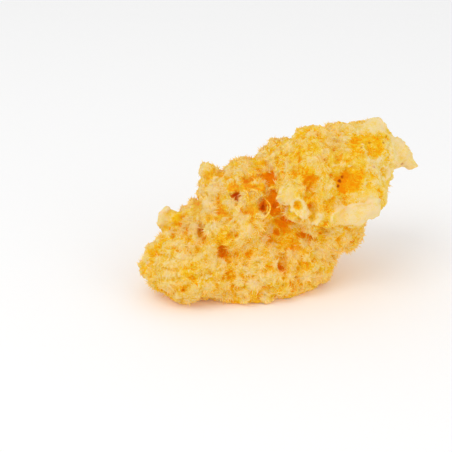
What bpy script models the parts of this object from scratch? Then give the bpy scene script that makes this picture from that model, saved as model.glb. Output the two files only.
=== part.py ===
"""A natural sea sponge, dried and trimmed, cut off flat where it grew on the rock.

The sponge grew as one piece, so it is one solid: rounded lobes that run into one another, a knob, flaps and a
pointed tip at the edges, deep pits where water flowed out, and a coarse lumpy skin. It stands on its cut base.
X runs along the sponge, Y from its front to its back, and Z up. The origin is under the middle of its box.
"""

import math
import random
from dataclasses import dataclass

import bmesh
import bpy
from mathutils import Matrix, Vector
from mathutils.bvhtree import BVHTree

MM = 0.001

# Driving dimensions, in millimetres.
LENGTH = 85.0
DEPTH = 50.0
HEIGHT = 49.5

# The front face leans back, so its features are placed on a plane tilted by this angle.
FRONT_LEAN_DEG = 24.0

# Sizes of the mesh steps, in millimetres.
LOBE_VOXEL = 1.0
PIT_VOXEL = 0.45
SKIN_VOXEL = 0.8
LOBE_SMOOTHING = 3
SKIN_SMOOTHING = 2
LUMP_SMOOTHING = 1
# Triangles before the base is cut, which takes some hundreds of them away.
TRIANGLES = 10200
BROAD_LUMP = 8.0
BROAD_LUMP_HEIGHT = 2.6
SMALL_LUMP = 2.3
SMALL_LUMP_HEIGHT = 2.5

# Pits that are spread over the whole skin.
SPREAD_PITS = 96
SPREAD_PIT_SEED = 11
SPREAD_PIT_RADIUS = (1.1, 2.3)
SPREAD_PIT_DEPTH = (2.4, 4.6)
SPREAD_PIT_STRETCH = (0.8, 1.5)
SPREAD_PIT_LEAN = 0.7
SPREAD_PIT_UPRIGHT = (0.3, 0.2, 1.0)
# Even places of the front that get no spread pit: how far across and up the leaning plane, and the radius.
EVEN_PLACES = ((18.4, 39.0, 3.4), (25.8, 19.0, 4.4), (24.3, 27.4, 2.8))

# The sponge's middle line, which rises to the right. Its ends are shares of the length from the origin, and its
# heights there are shares of the height.
CORE_ENDS = (-0.36, 0.34)
CORE_HEIGHTS = (0.3, 0.6)

SPONGE_COLOUR = (0.84, 0.53, 0.13, 1.0)
SPONGE_ROUGHNESS = 0.9


@dataclass(frozen=True)
class Lobe:
    """A rounded swelling: its centre and half sizes in millimetres, and its turn about Y in degrees."""

    name: str
    centre: tuple
    radii: tuple
    turn_deg: float = 0.0


@dataclass(frozen=True)
class Pit:
    """A hollow in the front face, by its place on the leaning plane, its half sizes and its depth."""

    name: str
    across: float
    up: float
    half_width: float
    half_height: float
    depth: float


LOBES = (
    Lobe("upper_left_shoulder", (11.0, 0.0, 35.4), (11.3, 17.0, 13.8)),
    Lobe("upper_crown", (20.6, 4.0, 35.6), (14.4, 17.0, 12.8)),
    Lobe("upper_right_shoulder", (27.8, 6.0, 35.6), (8.8, 14.0, 13.0)),
    Lobe("top_flap", (31.6, 8.0, 45.8), (3.8, 2.4, 4.4), 16.0),
    Lobe("right_cheek", (35.4, 8.0, 39.4), (6.8, 4.0, 5.0), 42.0),
    Lobe("right_tip", (38.2, 8.0, 37.8), (7.8, 2.4, 2.4), 40.0),
    Lobe("right_side", (26.8, -2.0, 31.2), (7.2, 11.4, 8.0)),
    Lobe("smooth_oval", (23.6, -10.6, 27.8), (9.0, 8.0, 4.6), -22.0),
    Lobe("tongue", (5.4, -13.2, 31.6), (5.2, 6.0, 7.0), -10.0),
    Lobe("ring_lobe", (11.7, -13.0, 26.8), (5.2, 5.2, 5.0)),
    Lobe("saddle", (1.8, 4.0, 33.2), (8.4, 15.0, 9.8)),
    Lobe("middle_mass", (-6.8, 2.0, 27.6), (12.8, 16.6, 11.0)),
    Lobe("knob", (-21.3, 0.0, 34.7), (3.0, 3.4, 4.7), 10.0),
    Lobe("knob_root", (-19.4, 2.0, 26.6), (5.2, 10.0, 7.0)),
    Lobe("lower_left_mass", (-15.0, -6.0, 21.2), (13.8, 13.6, 8.2)),
    Lobe("left_tip", (-30.8, -3.0, 20.4), (6.8, 3.6, 2.4), -10.0),
    Lobe("left_spike", (-34.4, -3.0, 23.2), (3.7, 1.8, 1.3), -39.0),
    Lobe("left_foot", (-27.0, -12.0, 9.6), (14.6, 13.4, 10.4)),
    Lobe("base_left", (-8.6, -2.0, 7.0), (22.0, 20.0, 14.0)),
    Lobe("base_right", (5.0, 0.0, 9.2), (15.4, 17.0, 13.4)),
    Lobe("under_crown", (13.8, 0.0, 20.0), (14.2, 15.0, 11.8)),
    Lobe("back_left", (-19.0, 11.0, 12.6), (12.0, 10.0, 9.6)),
    Lobe("back_middle", (3.0, 15.0, 21.0), (14.0, 9.0, 13.0)),
    Lobe("back_right", (23.0, 14.0, 32.0), (12.0, 9.0, 11.0)),
)

PITS = (
    Pit("great_crater", 20.2, 30.6, 4.6, 4.0, 2.4),
    Pit("great_crater_hole", 17.6, 29.0, 1.2, 1.5, 4.0),
    Pit("upper_crater", 28.0, 39.6, 3.2, 2.4, 1.8),
    Pit("side_pore", 31.4, 31.8, 1.2, 1.6, 2.0),
    Pit("tongue_hole", 5.2, 22.0, 1.5, 1.5, 3.4),
    Pit("ring_hole", 9.6, 18.4, 1.6, 1.5, 3.0),
    Pit("long_crevice_top", -2.6, 30.6, 2.2, 3.6, 3.6),
    Pit("long_crevice_foot", -1.2, 24.2, 1.8, 3.6, 4.4),
    Pit("strand_hole", -4.9, 21.7, 1.5, 2.8, 5.6),
    Pit("ledge_hollow", 0.2, 21.0, 2.6, 2.4, 4.6),
    Pit("orange_hole", -12.4, 24.4, 2.3, 1.7, 4.4),
    Pit("groove_left", -14.0, 28.0, 4.6, 0.9, 2.4),
    Pit("dark_slot", -18.0, 19.2, 1.6, 2.0, 5.0),
    Pit("low_round_hole", -0.5, 14.0, 1.2, 1.2, 4.0),
    Pit("low_left_hole", -23.6, 16.4, 1.3, 1.1, 3.4),
    Pit("low_middle_hole", -8.4, 15.8, 1.2, 1.0, 3.0),
    Pit("shoulder_dimple", 9.2, 28.8, 1.8, 1.4, 2.6),
    Pit("crown_dimple", 13.0, 35.8, 1.6, 1.4, 2.0),
)


def clear_scene():
    """Removes every object of the scene."""
    for obj in list(bpy.data.objects):
        bpy.data.objects.remove(obj, do_unlink=True)


def new_collection(name):
    """Makes a collection in the scene."""
    collection = bpy.data.collections.new(name)
    bpy.context.scene.collection.children.link(collection)
    return collection


def object_of(name, bm, collection):
    """Makes an object of a bmesh, which it frees."""
    mesh = bpy.data.meshes.new(name)
    bm.to_mesh(mesh)
    bm.free()
    obj = bpy.data.objects.new(name, mesh)
    collection.objects.link(obj)
    return obj


def evaluated_mesh(obj):
    """The mesh of an object with its modifiers applied."""
    bpy.context.view_layer.update()
    graph = bpy.context.evaluated_depsgraph_get()
    return bpy.data.meshes.new_from_object(obj.evaluated_get(graph))


def as_helper(obj):
    """Marks an object as a cutter or a guide, which is no part of the sponge."""
    obj.hide_render = True
    obj.display_type = "WIRE"


def add_remesh(obj, voxel_mm):
    """Joins what overlaps in the mesh into one closed skin."""
    remesh = obj.modifiers.new("one skin", "REMESH")
    remesh.mode = "VOXEL"
    remesh.voxel_size = voxel_mm * MM
    remesh.adaptivity = 0.0


def add_boolean(obj, cutter):
    """Cuts one object away from another."""
    cut = obj.modifiers.new("cut by " + cutter.name, "BOOLEAN")
    cut.operation = "DIFFERENCE"
    cut.solver = "EXACT"
    cut.object = cutter


def add_lumps(obj, name, size_mm, height_mm):
    """Raises and sinks the skin by smooth noise."""
    texture = bpy.data.textures.new(name, "CLOUDS")
    texture.noise_scale = size_mm * MM
    texture.noise_depth = 1
    displace = obj.modifiers.new(name, "DISPLACE")
    displace.texture = texture
    displace.texture_coords = "LOCAL"
    displace.mid_level = 0.5
    displace.strength = height_mm * MM


def add_smooth(obj, times):
    """Rounds the seams between lobes and the rims of pits."""
    smooth = obj.modifiers.new("rounded seams", "SMOOTH")
    smooth.factor = 0.5
    smooth.iterations = times


def add_ball(bm, matrix):
    """Adds a ball of radius 1, turned, stretched and placed by a matrix."""
    bmesh.ops.create_icosphere(bm, subdivisions=3, radius=1.0, matrix=matrix)


def lobes_object(collection):
    """The lobes as overlapping ellipsoids, joined into one skin."""
    bm = bmesh.new()
    for lobe in LOBES:
        place = Matrix.Translation(Vector(lobe.centre) * MM)
        turn = Matrix.Rotation(math.radians(lobe.turn_deg), 4, "Y")
        stretch = Matrix.Diagonal((*(Vector(lobe.radii) * MM), 1.0))
        add_ball(bm, place @ turn @ stretch)
    obj = object_of("lobes", bm, collection)
    add_remesh(obj, LOBE_VOXEL)
    add_smooth(obj, LOBE_SMOOTHING)
    return obj


def front_axes():
    """The leaning front plane's directions: across it, up it, and into the sponge."""
    lean = math.radians(FRONT_LEAN_DEG)
    across = Vector((1.0, 0.0, 0.0))
    up = Vector((0.0, math.sin(lean), math.cos(lean)))
    into = Vector((0.0, math.cos(lean), -math.sin(lean)))
    return across, up, into


def pit_matrix(mouth, into, upright, half_width, half_height, depth):
    """A stretched ball centred on the pit's mouth, whose far end is its bottom."""
    across = upright.cross(into).normalized()
    upward = into.cross(across).normalized()
    turn = Matrix((across, upward, into)).transposed().to_4x4()
    return Matrix.Translation(mouth) @ turn @ Matrix.Diagonal((half_width, half_height, depth, 1.0))


def add_front_pits(bm, skin):
    """Adds a cutter for each named pit of the front face, where a line into the face meets the skin."""
    across, up, into = front_axes()
    for pit in PITS:
        start = (across * pit.across + up * pit.up) * MM - into * DEPTH * MM * 2.0
        mouth = skin.ray_cast(start, into)[0]
        sizes = (pit.half_width * MM, pit.half_height * MM, pit.depth * MM)
        add_ball(bm, pit_matrix(mouth, into, up, *sizes))


def add_spread_pits(bm, skin):
    """Adds cutters all over the skin, each along a line that points at the sponge's long middle line."""
    rng = random.Random(SPREAD_PIT_SEED)
    upright = Vector(SPREAD_PIT_UPRIGHT).normalized()
    across, up, into = front_axes()
    left_end = Vector((CORE_ENDS[0] * LENGTH, 0.0, CORE_HEIGHTS[0] * HEIGHT)) * MM
    right_end = Vector((CORE_ENDS[1] * LENGTH, 0.0, CORE_HEIGHTS[1] * HEIGHT)) * MM
    for _ in range(SPREAD_PITS):
        target = left_end.lerp(right_end, rng.random())
        angle = rng.uniform(0.0, math.tau)
        lean = rng.uniform(-SPREAD_PIT_LEAN, SPREAD_PIT_LEAN)
        outward = Vector((lean, math.cos(angle), math.sin(angle))).normalized()
        mouth = skin.ray_cast(target + outward * LENGTH * MM, -outward)[0]
        radius = rng.uniform(*SPREAD_PIT_RADIUS) * MM
        stretch = rng.uniform(*SPREAD_PIT_STRETCH)
        depth = rng.uniform(*SPREAD_PIT_DEPTH) * MM
        place = (mouth.dot(across) / MM, mouth.dot(up) / MM)
        even = any(math.dist(place, (side, rise)) < reach for side, rise, reach in EVEN_PLACES)
        if even and outward.dot(into) < 0.0:
            continue
        add_ball(bm, pit_matrix(mouth, -outward, upright, radius, radius * stretch, depth))


def pits_object(skin, collection):
    """All the pits as one cutter."""
    bm = bmesh.new()
    add_front_pits(bm, skin)
    add_spread_pits(bm, skin)
    obj = object_of("pits", bm, collection)
    add_remesh(obj, PIT_VOXEL)
    as_helper(obj)
    return obj


def ground_object(collection):
    """A block below Z = 0, whose top cuts the flat base."""
    bm = bmesh.new()
    bmesh.ops.create_cube(bm, size=1.0)
    sides = Vector((2.0 * LENGTH, 2.0 * DEPTH, HEIGHT)) * MM
    bmesh.ops.scale(bm, vec=sides, verts=bm.verts)
    bmesh.ops.translate(bm, vec=(0.0, 0.0, -sides.z / 2.0), verts=bm.verts)
    obj = object_of("ground", bm, collection)
    as_helper(obj)
    return obj


def skinned_object(lobes, pits, ground, collection):
    """The lobes with their pits and lumps, at the final number of triangles, cut flat below."""
    rough = bpy.data.objects.new("skinned", evaluated_mesh(lobes))
    collection.objects.link(rough)
    add_boolean(rough, pits)
    add_remesh(rough, SKIN_VOXEL)
    add_smooth(rough, SKIN_SMOOTHING)
    add_lumps(rough, "broad lumps", BROAD_LUMP, BROAD_LUMP_HEIGHT)
    add_lumps(rough, "small lumps", SMALL_LUMP, SMALL_LUMP_HEIGHT)
    add_smooth(rough, LUMP_SMOOTHING)
    full = len(evaluated_mesh(rough).polygons) * 2
    fewer = rough.modifiers.new("fewer faces", "DECIMATE")
    fewer.ratio = TRIANGLES / full
    add_boolean(rough, ground)
    as_helper(rough)
    return rough


def largest_piece(bm):
    """Deletes all but the connected piece with the most faces, such as crumbs that the noise cut loose."""
    bm.faces.ensure_lookup_table()
    left = set(bm.faces)
    pieces = []
    while left:
        piece = {left.pop()}
        edge_of_search = list(piece)
        while edge_of_search:
            face = edge_of_search.pop()
            for edge in face.edges:
                for other in edge.link_faces:
                    if other in left:
                        left.remove(other)
                        piece.add(other)
                        edge_of_search.append(other)
        pieces.append(piece)
    pieces.sort(key=len)
    crumbs = [face for piece in pieces[:-1] for face in piece]
    bmesh.ops.delete(bm, geom=crumbs, context="FACES")
    loose = [vert for vert in bm.verts if not vert.link_faces]
    bmesh.ops.delete(bm, geom=loose, context="VERTS")


def sponge_material():
    """Dry golden spongin, matt and slightly see-through at thin edges."""
    material = bpy.data.materials.new("golden_spongin")
    material.use_nodes = True
    shader = material.node_tree.nodes["Principled BSDF"]
    shader.inputs["Base Color"].default_value = SPONGE_COLOUR
    shader.inputs["Roughness"].default_value = SPONGE_ROUGHNESS
    shader.inputs["Metallic"].default_value = 0.0
    return material


def sponge_object(skinned, collection):
    """The finished solid, sized to its driving dimensions and centred over the origin."""
    bm = bmesh.new()
    bm.from_mesh(evaluated_mesh(skinned))
    largest_piece(bm)
    bmesh.ops.triangulate(bm, faces=bm.faces)
    low = Vector(min(vert.co[i] for vert in bm.verts) for i in range(3))
    high = Vector(max(vert.co[i] for vert in bm.verts) for i in range(3))
    middle = (low + high) / 2.0
    bmesh.ops.translate(bm, vec=(-middle.x, -middle.y, -low.z), verts=bm.verts)
    wanted = Vector((LENGTH, DEPTH, HEIGHT)) * MM
    found = high - low
    print("box before sizing, mm:", [round(side / MM, 2) for side in found])
    bmesh.ops.scale(bm, vec=[wanted[i] / found[i] for i in range(3)], verts=bm.verts)
    obj = object_of("sea_sponge", bm, collection)
    obj.data.materials.append(sponge_material())
    obj.data.shade_smooth()
    return obj


def main():
    """Builds the sponge and leaves its cutters hidden."""
    clear_scene()
    helpers = new_collection("cutters")
    parts = new_collection("sea sponge")
    lobes = lobes_object(helpers)
    as_helper(lobes)
    bm = bmesh.new()
    bm.from_mesh(evaluated_mesh(lobes))
    skin = BVHTree.FromBMesh(bm)
    bm.free()
    pits = pits_object(skin, helpers)
    ground = ground_object(helpers)
    skinned = skinned_object(lobes, pits, ground, helpers)
    sponge_object(skinned, parts)


main()
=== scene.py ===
"""Looks of a natural sea sponge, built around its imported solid.

The sponge is one growth. Its solid gives the lobes, flaps and large pits. This script gives it the finer form
that the eye reads as sponge: open pores between soft ridges, smooth trimmed skin on the flaps and lobe ends,
a coat of short spongin fibres, and loose strands across the holes.
"""

import logging
import math
from collections.abc import Iterator
from dataclasses import dataclass
from enum import Enum
from functools import partial

import bmesh
import bpy
import numpy as np
from bmesh.types import BMesh
from bpy.types import ID, Material, Mesh, Node, NodeOutputs, NodeSocket, NodeTree, Object
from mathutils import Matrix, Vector
from mathutils.bvhtree import BVHTree


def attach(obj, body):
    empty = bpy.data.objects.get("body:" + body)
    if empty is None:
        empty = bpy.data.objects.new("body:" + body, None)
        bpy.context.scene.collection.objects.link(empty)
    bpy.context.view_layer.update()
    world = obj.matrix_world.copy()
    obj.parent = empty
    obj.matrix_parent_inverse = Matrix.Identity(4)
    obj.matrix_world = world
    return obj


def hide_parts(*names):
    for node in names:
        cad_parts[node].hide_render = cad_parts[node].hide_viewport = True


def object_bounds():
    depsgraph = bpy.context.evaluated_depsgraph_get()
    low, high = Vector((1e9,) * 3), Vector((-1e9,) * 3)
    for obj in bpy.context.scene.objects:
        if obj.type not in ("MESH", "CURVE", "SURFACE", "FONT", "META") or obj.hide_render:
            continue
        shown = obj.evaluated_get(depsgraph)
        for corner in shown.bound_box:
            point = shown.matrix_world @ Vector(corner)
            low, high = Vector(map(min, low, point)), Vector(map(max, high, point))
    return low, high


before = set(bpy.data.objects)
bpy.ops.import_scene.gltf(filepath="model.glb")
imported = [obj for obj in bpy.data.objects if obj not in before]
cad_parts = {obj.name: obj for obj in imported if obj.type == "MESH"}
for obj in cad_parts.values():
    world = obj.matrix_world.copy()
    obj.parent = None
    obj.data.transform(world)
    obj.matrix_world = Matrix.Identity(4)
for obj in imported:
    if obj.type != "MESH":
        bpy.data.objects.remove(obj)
solid_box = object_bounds()

MM = 0.001
NODE = "sea_sponge"
BODY = "root"

# The photograph: its side in pixels, the real size of a pixel, and the pixel where the sponge's own
# middle line meets the surface that it stands on.
PHOTO_SIDE_PIXELS = 452
MM_PER_PIXEL = 0.311
STAND_PIXEL = (279.0, 277.0)
VIEW_ELEVATION_DEG = 24.0

log = logging.getLogger("sea_sponge")


def linear(hex_colour: str) -> tuple[float, float, float, float]:
    """Turns an sRGB hex colour, such as #FFFFFF, to linear red, green and blue and an alpha of 1."""
    parts = (int(hex_colour[i : i + 2], 16) / 255 for i in (1, 3, 5))
    return (*(c / 12.92 if c <= 0.04045 else ((c + 0.055) / 1.055) ** 2.4 for c in parts), 1.0)


# The nodes that the trees below are written with, by short names, and the middle of a noise's colour.
COMBINE = "ShaderNodeCombineXYZ"
CELLS = "ShaderNodeTexVoronoi"
MATH = "ShaderNodeMath"
NOISE = "ShaderNodeTexNoise"
RANDOM = "FunctionNodeRandomValue"
RANGE = "ShaderNodeMapRange"
READ = "GeometryNodeInputNamedAttribute"
SEPARATE = "ShaderNodeSeparateXYZ"
STORE = "GeometryNodeStoreNamedAttribute"
VECTOR = "ShaderNodeVectorMath"
MIDDLE = (0.5, 0.5, 0.5)


def add_node(
    tree: NodeTree, kind: str, inputs: tuple | dict = (), output: int | str = 0, **settings: object
) -> NodeSocket | Node:
    """Adds a node with its settings and its links.

    Args:
        tree: The tree that gets the node.
        kind: The node's type name.
        inputs: A value or a socket for each input, in order or by name or index.
        output: The output that is wanted.
        **settings: The node's own properties.

    Returns:
        The wanted output socket, which knows its node, or the node itself where it has no output.
    """
    node = tree.nodes.new(kind)
    for name, value in settings.items():
        setattr(node, name, value)
    for key, value in (inputs if isinstance(inputs, dict) else dict(enumerate(inputs))).items():
        socket = node.inputs[key]
        if isinstance(value, NodeSocket):
            tree.links.new(value, socket)
        else:
            socket.default_value = value
    return node.outputs[output] if node.outputs else node


# The settings of a range that eases in and out, and of a number that is stored on points.
SOFT = {"interpolation_type": "SMOOTHSTEP"}
ON_POINTS = {"data_type": "FLOAT", "domain": "POINT"}

# Qualities of the skin, each with a range and the shares that it gives at the range's ends.
Spans = tuple[tuple[str, tuple[float, float, float, float]], ...]


def span(low: float, high: float, at_low: float, at_high: float) -> dict[str, float]:
    """Gives the inputs of a node that maps one range of a value to another."""
    return {"From Min": low, "From Max": high, "To Min": at_low, "To Max": at_high}


def skin_shares(tree: NodeTree, spans: Spans) -> list[NodeSocket]:
    """Reads the skin's qualities from their attributes, each as the share that its range gives."""
    add = partial(add_node, tree)
    return [add(RANGE, {0: add(READ, (name,)), **span(*limits)}) for name, limits in spans]


def product(tree: NodeTree, parts: tuple[object, ...]) -> NodeSocket:
    """Multiplies values and sockets in their order."""
    total = parts[0]
    for part in parts[1:]:
        total = add_node(tree, MATH, (total, part), operation="MULTIPLY")
    return total


def weighted_sum(tree: NodeTree, start: object, parts: tuple[tuple[object, float, float], ...]) -> NodeSocket:
    """Adds up values, each less its middle and times its share.

    Args:
        tree: The tree that gets the nodes.
        start: What the sum starts from.
        parts: For each value the value, its middle and its share.

    Returns:
        The sum.
    """
    total = start
    for value, middle, share in parts:
        level = add_node(tree, MATH, (total, middle * share), operation="SUBTRACT")
        total = add_node(tree, MATH, (value, share, level), operation="MULTIPLY_ADD")
    return total


@dataclass(frozen=True)
class Clumps:
    """The clumps that the spongin grows in: the fibres of each spread from its middle like a shaving brush.

    The borders between clumps wander by a share of the spacing. Each clump has its own streaks, because the
    pattern that they come from is shifted from clump to clump. A tuft fades out between the two distances
    of its edge, and fray tells how far the streaks lengthen or shorten it there.
    """

    spacing_mm: float = 3.6
    wander: float = 0.5
    hairs_round: float = 3.2
    streak_shift: float = 20.0
    fray: float = 1.2
    edge: tuple[float, float] = (0.42, 0.7)

    def nodes(self, tree: NodeTree, place: NodeSocket, finer: float = 1.0) -> dict[str, NodeSocket]:
        """Adds the nodes that find a place's clump.

        Args:
            tree: The tree that gets the nodes.
            place: The place on the skin.
            finer: How many times more streaks run round a clump than its hairs alone give.

        Returns:
            The way out from the clump's middle, the distance from it in spacings, the streaks that run out
            from the middle, about 0.5, and the tuft, 1 in the clump and 0 past its frayed edge.
        """
        add = partial(add_node, tree)
        scale = 1.0 / (self.spacing_mm * MM)
        drift = add(NOISE, {"Vector": place, "Scale": scale, "Detail": 1.0}, 1)
        drift = add(VECTOR, (drift, MIDDLE), operation="SUBTRACT")
        reach = 2.0 * self.wander * self.spacing_mm * MM
        drift = add(VECTOR, {0: drift, "Scale": reach}, operation="SCALE")
        bent = add(VECTOR, (place, drift), operation="ADD")
        distance = add(CELLS, {"Vector": bent, "Scale": scale})
        cells = distance.node.outputs
        out = add(VECTOR, (bent, cells["Position"]), operation="SUBTRACT")
        out = add(VECTOR, (out,), operation="NORMALIZE")
        around = add(VECTOR, {0: out, "Scale": self.hairs_round * finer}, operation="SCALE")
        shift = add(VECTOR, {0: cells["Color"], "Scale": self.streak_shift}, operation="SCALE")
        around = add(VECTOR, (around, shift), operation="ADD")
        streak = add(NOISE, {"Vector": around, "Scale": 1.0, "Detail": 2.0})
        frayed = weighted_sum(tree, distance, ((streak, 0.5, self.fray),))
        tuft = add(RANGE, {0: frayed, **span(*self.edge, 1.0, 0.0)}, **SOFT)
        return {"out": out, "distance": distance, "streak": streak, "tuft": tuft}


CLUMPS = Clumps()
SMALL_CLUMPS = Clumps(spacing_mm=1.7, hairs_round=2.4, fray=0.8, edge=(0.34, 0.7))


def new_object(name: str, data: ID) -> Object:
    """Makes an object of a mesh, a camera or a light and links it to the scene."""
    obj = bpy.data.objects.new(name, data)
    bpy.context.scene.collection.objects.link(obj)
    return obj


def mesh_of(bm: BMesh, name: str) -> Mesh:
    """Turns an edited mesh to a plain one and frees it."""
    mesh = bpy.data.meshes.new(name)
    bm.to_mesh(mesh)
    bm.free()
    return mesh


def baked_mesh(obj: Object) -> Mesh:
    """Evaluates an object's modifiers.

    Args:
        obj: The object with live modifiers.

    Returns:
        A new plain mesh.
    """
    bpy.context.view_layer.update()
    graph = bpy.context.evaluated_depsgraph_get()
    return bpy.data.meshes.new_from_object(obj.evaluated_get(graph))


def triangle_count(mesh: Mesh) -> int:
    """Counts the triangles that a mesh has once its faces are split."""
    mesh.calc_loop_triangles()
    return len(mesh.loop_triangles)


def run_tree(tree: NodeTree, source: Mesh, values: dict[str, float], name: str) -> Mesh:
    """Runs a geometry node tree on a mesh and returns the plain result.

    Args:
        tree: The geometry node tree.
        source: The mesh that enters the tree.
        values: The tree's named inputs.
        name: The name of the new mesh.

    Returns:
        The mesh that leaves the tree.
    """
    holder = new_object(name, source.copy())
    modifier = holder.modifiers.new(name, "NODES")
    modifier.node_group = tree
    sockets = {item.name: item.identifier for item in tree.interface.items_tree if item.in_out == "INPUT"}
    for key, value in values.items():
        modifier[sockets[key]] = value
    result = baked_mesh(holder)
    used = holder.data
    bpy.data.objects.remove(holder)
    bpy.data.meshes.remove(used)
    result.name = name
    return result


def new_tree(name: str, numbers: dict[str, float]) -> tuple[NodeTree, NodeOutputs]:
    """Starts a geometry node tree with a geometry input and named number inputs.

    Args:
        name: The tree's name.
        numbers: Each named input with its default. A default that is an int makes an integer input.

    Returns:
        The new tree and the sockets of its inputs.
    """
    tree = bpy.data.node_groups.new(name, "GeometryNodeTree")
    tree.interface.new_socket("Geometry", in_out="INPUT", socket_type="NodeSocketGeometry")
    tree.interface.new_socket("Geometry", in_out="OUTPUT", socket_type="NodeSocketGeometry")
    for key, value in numbers.items():
        kind = "NodeSocketInt" if isinstance(value, int) else "NodeSocketFloat"
        tree.interface.new_socket(key, in_out="INPUT", socket_type=kind).default_value = value
    return tree, add_node(tree, "NodeGroupInput").node.outputs


@dataclass(frozen=True)
class PhotoView:
    """The photograph's view: level, from the front and above, along a line that rises from the sponge."""

    lens_mm: float = 100.0
    sensor_mm: float = 36.0

    @property
    def distance(self) -> float:
        """The distance at which the sponge's middle fills as many pixels as in the photograph."""
        return PHOTO_SIDE_PIXELS * MM_PER_PIXEL * MM * self.lens_mm / self.sensor_mm

    @property
    def across(self) -> Vector:
        """The direction of the picture's rows."""
        return Vector((1.0, 0.0, 0.0))

    @property
    def up(self) -> Vector:
        """The direction up the picture."""
        lean = math.radians(VIEW_ELEVATION_DEG)
        return Vector((0.0, math.sin(lean), math.cos(lean)))

    @property
    def into(self) -> Vector:
        """The direction into the picture."""
        lean = math.radians(VIEW_ELEVATION_DEG)
        return Vector((0.0, math.cos(lean), -math.sin(lean)))

    def on_plane(self, pixel: tuple[float, float]) -> Vector:
        """Gives the point on the leaning plane through the origin that a pixel shows."""
        side = (pixel[0] - STAND_PIXEL[0]) * MM_PER_PIXEL * MM
        rise = (STAND_PIXEL[1] - pixel[1]) * MM_PER_PIXEL * MM
        return self.across * side + self.up * rise

    @property
    def place(self) -> Vector:
        """Where the camera stands."""
        middle = PHOTO_SIDE_PIXELS / 2
        return self.on_plane((middle, middle)) - self.into * self.distance

    def hit(self, tree: BVHTree, pixel: tuple[float, float]) -> Vector | None:
        """Finds the point of the skin that a pixel shows, or None where the pixel lies beside the sponge."""
        ray = (self.on_plane(pixel) - self.place).normalized()
        return tree.ray_cast(self.place, ray)[0]

    def trail(self, tree: BVHTree, pixels: tuple[tuple[float, float], ...]) -> list[Vector]:
        """Finds the points of the sponge along a line of pixels.

        Args:
            tree: The sponge's skin.
            pixels: The corners of the line in the photograph.

        Returns:
            The points on the skin, one pixel apart.
        """
        found = []
        for first, second in zip(pixels, pixels[1:]):
            steps = max(1, round(math.dist(first, second)))
            for k in range(steps + 1):
                share = k / steps
                found.append(self.hit(tree, tuple(a + (b - a) * share for a, b in zip(first, second))))
        return [point for point in found if point is not None]


VIEW = PhotoView()


@dataclass(frozen=True)
class Hollow:
    """A pit of the front: the pixel of its mouth, its half sizes, its depth and its turn in the picture.

    A negative depth raises a lump instead.
    """

    name: str
    pixel: tuple[float, float]
    half_width_mm: float
    half_height_mm: float
    depth_mm: float
    turn_deg: float = 0.0


@dataclass(frozen=True)
class Ridge:
    """A pale raised rim of the front: the pixels that it runs through, its half width and its height."""

    name: str
    pixels: tuple[tuple[float, float], ...]
    half_width_mm: float
    height_mm: float

    def share(self, points: np.ndarray, tree: BVHTree) -> np.ndarray:
        """Tells how much of the ridge lies at each point.

        Args:
            points: The points, one to a row.
            tree: The skin that the ridge runs over.

        Returns:
            A number for each point, 1 on the ridge's line and 0 away from it.
        """
        near = np.full(len(points), np.inf)
        for place in VIEW.trail(tree, self.pixels):
            near = np.minimum(near, np.linalg.norm(points - np.array(place), axis=1))
        return np.exp(-((near / (self.half_width_mm * MM)) ** 2))


@dataclass(frozen=True)
class Patch:
    """A place on the skin: the pixel of its middle, its radius, and the quality's value there."""

    pixel: tuple[float, float]
    radius_mm: float
    amount: float = 1.0


# A patch fades out between 0.75 and 1.25 of its radius.
PATCH_END = 1.25
PATCH_FADE = 0.5


@dataclass(frozen=True)
class SkinMap:
    """A quality of the skin that varies from place to place and is stored as a named attribute."""

    attribute: str
    elsewhere: float
    patches: tuple[Patch, ...]

    def paint(self, mesh: Mesh, tree: BVHTree) -> None:
        """Stores the quality for each point of a mesh.

        Args:
            mesh: The mesh that gets the attribute.
            tree: The skin that the patches lie on.
        """
        points = points_of(mesh)
        value = np.full(len(points), self.elsewhere)
        for patch in self.patches:
            centre = VIEW.hit(tree, patch.pixel)
            if centre is None:
                log.warning("%s: nothing at pixel %s", self.attribute, patch.pixel)
                continue
            away = np.linalg.norm(points - np.array(centre), axis=1) / (patch.radius_mm * MM)
            share = np.clip((PATCH_END - away) / PATCH_FADE, 0.0, 1.0)
            share = share * share * (3.0 - 2.0 * share)
            value += (patch.amount - value) * share
        store(mesh, self.attribute, value)


# How deep the crest, flank and pore colours lie, from 0 at the fibre tips to 1 in the deepest pores.
COLOUR_DEPTHS = (0.22, 0.45, 0.72)


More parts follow.
